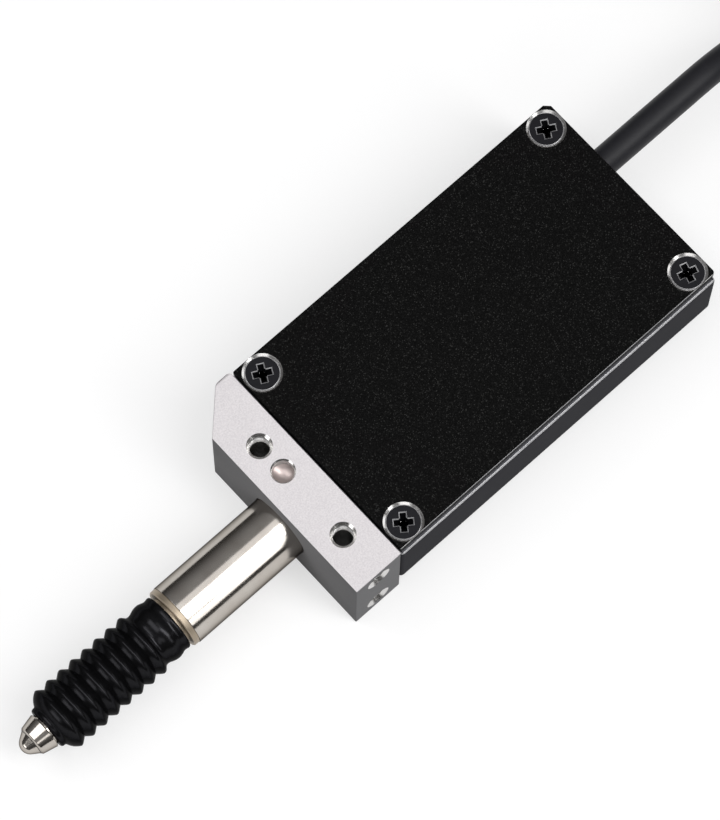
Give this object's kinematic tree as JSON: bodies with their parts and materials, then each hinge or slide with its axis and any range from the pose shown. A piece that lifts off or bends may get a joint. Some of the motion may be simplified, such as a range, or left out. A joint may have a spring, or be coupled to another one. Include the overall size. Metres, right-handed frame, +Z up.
{
  "type": "linear gauge sensor",
  "caption": "Slim linear gauge sensor: a sprung, ball-ended spindle in a round stem with rubber bellows, a mounting block, a covered case and a cable with a round plug.",
  "frame": {"origin": "on the mounting block's underside, at the middle of the block's depth and straight below the stem's axis", "axes": "+X along the stem's axis, from the contact tip towards the cable; +Z up, out of the case's cover; +Y towards the block's chamfered corner"},
  "size_m": [0.198, 0.0404, 0.0352],
  "materials": {
    "block_aluminium": "fine blasted, clear anodised",
    "stem_steel": "ground and polished",
    "bush_rim": "turned, satin",
    "bush_bronze": "turned",
    "spindle_steel": "ground",
    "tip_steel": "polished",
    "bellows_rubber": "satin black",
    "spring_wire": "drawn wire",
    "case_finish": "satin, dark anodised",
    "gasket_rubber": "matt",
    "cover_finish": "black with a fine sparkle",
    "screw_black": "black oxide",
    "screw_plain": "plain",
    "carrier_aluminium": "machined",
    "scale_glass": "polished with fine rulings",
    "head_plastic": "filled plastic",
    "lamp_epoxy": "clear epoxy",
    "chip_plastic": "moulded",
    "board_laminate": "solder mask",
    "header_plastic": "moulded",
    "clamp_rubber": "matt",
    "cable_jacket": "matt dark grey jacket",
    "plug_plating": "satin nickel"
  },
  "bodies": {
    "sensor_body": {"mounting_block": "block_aluminium", "stem": "stem_steel", "front_bush": "bush_rim", "rear_bush": "bush_bronze", "bellows": "bellows_rubber", "return_spring": "spring_wire", "case": "case_finish", "cover_gasket": "gasket_rubber", "cover": "cover_finish", "body_screw_1": "screw_black", "body_screw_2": "screw_black", "cover_screw_1": "screw_black", "cover_screw_2": "screw_black", "cover_screw_3": "screw_black", "cover_screw_4": "screw_black", "guide_rod": "spindle_steel", "reading_head": "head_plastic", "light_source": "lamp_epoxy", "photodetector": "chip_plastic", "head_screw_1": "screw_plain", "head_screw_2": "screw_plain", "board_screw_1": "screw_plain", "board_screw_2": "screw_plain", "circuit_board": "board_laminate", "signal_chip": "chip_plastic", "driver_chip": "chip_plastic", "wire_header": "header_plastic", "cable_clamp": "clamp_rubber", "cable": "cable_jacket", "cable_hank": "cable_jacket", "cable_tail": "cable_jacket", "plug_boot": "clamp_rubber", "plug_shell": "plug_plating", "plug_coupling": "plug_plating", "plug_insert": "chip_plastic"},
    "spindle_group": {"spindle": "spindle_steel", "stop_collar": "spindle_steel", "contact_tip": "tip_steel", "scale_carrier": "carrier_aluminium", "carrier_set_screw": "screw_black", "glass_scale": "scale_glass"}
  },
  "joints": [
    {"name": "spindle_travel", "type": "slide", "parent": "sensor_body", "child": "spindle_group", "axis": [1, 0, 0], "range_m": [0, 0.01], "stiffness_N_per_m": 50, "springref_m": -0.01, "deforming": ["bellows", "return_spring"]}
  ]
}
